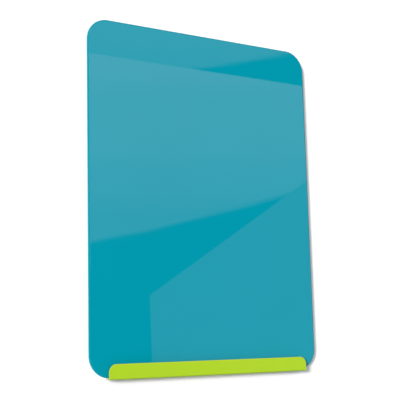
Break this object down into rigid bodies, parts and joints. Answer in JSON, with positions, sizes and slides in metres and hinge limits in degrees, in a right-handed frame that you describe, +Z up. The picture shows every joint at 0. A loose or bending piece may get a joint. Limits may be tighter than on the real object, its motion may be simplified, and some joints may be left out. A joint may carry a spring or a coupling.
{
  "type": "magnetic whiteboard",
  "caption": "Frameless magnetic dry-erase board in glossy teal with rounded corners, a lime marker tray under its lower edge, and a wall rail that it hooks on.",
  "frame": {"origin": "middle of the wall rail's flat back face, which lies on the wall", "axes": "+Z up, +Y into the wall, so the writing face looks along -Y, and +X to the right of someone who faces the board"},
  "size_m": [0.914, 0.0479, 1.2233],
  "materials": {
    "teal_paint": "high gloss dry-erase coating",
    "lime_powder_coat": "semi-gloss powder coat",
    "paper_core": "raw",
    "galvanised_steel": "galvanised, dull",
    "zinc_plate": "zinc plated, satin",
    "rubber": "matte"
  },
  "bodies": {
    "wall_mount": {"wall_rail": "zinc_plate"},
    "board": {"writing_panel": "teal_paint", "core_board": "paper_core", "back_sheet": "galvanised_steel", "top_rail": "galvanised_steel", "bottom_rail": "galvanised_steel", "left_stile": "galvanised_steel", "right_stile": "galvanised_steel", "centre_brace": "galvanised_steel", "gusset_top_left": "zinc_plate", "gusset_top_right": "zinc_plate", "gusset_bottom_left": "zinc_plate", "gusset_bottom_right": "zinc_plate", "gusset_rivet_1": "zinc_plate", "gusset_rivet_2": "zinc_plate", "gusset_rivet_3": "zinc_plate", "gusset_rivet_4": "zinc_plate", "gusset_rivet_5": "zinc_plate", "gusset_rivet_6": "zinc_plate", "gusset_rivet_7": "zinc_plate", "gusset_rivet_8": "zinc_plate", "gusset_rivet_9": "zinc_plate", "gusset_rivet_10": "zinc_plate", "gusset_rivet_11": "zinc_plate", "gusset_rivet_12": "zinc_plate", "gusset_rivet_13": "zinc_plate", "gusset_rivet_14": "zinc_plate", "gusset_rivet_15": "zinc_plate", "gusset_rivet_16": "zinc_plate", "hanger_left": "zinc_plate", "hanger_right": "zinc_plate", "hanger_rivet_1": "zinc_plate", "hanger_rivet_2": "zinc_plate", "hanger_rivet_3": "zinc_plate", "hanger_rivet_4": "zinc_plate", "marker_tray": "lime_powder_coat", "tray_rivet_nut_1": "zinc_plate", "tray_rivet_nut_2": "zinc_plate", "tray_rivet_nut_3": "zinc_plate", "tray_rivet_nut_4": "zinc_plate", "tray_screw_1": "zinc_plate", "tray_screw_2": "zinc_plate", "tray_screw_3": "zinc_plate", "tray_screw_4": "zinc_plate", "bumper_left": "rubber", "bumper_right": "rubber"}
  },
  "joints": [
    {"name": "lift_off", "type": "slide", "parent": "wall_mount", "child": "board", "axis": [0, 0, 1], "range_m": [0, 0.013]}
  ]
}
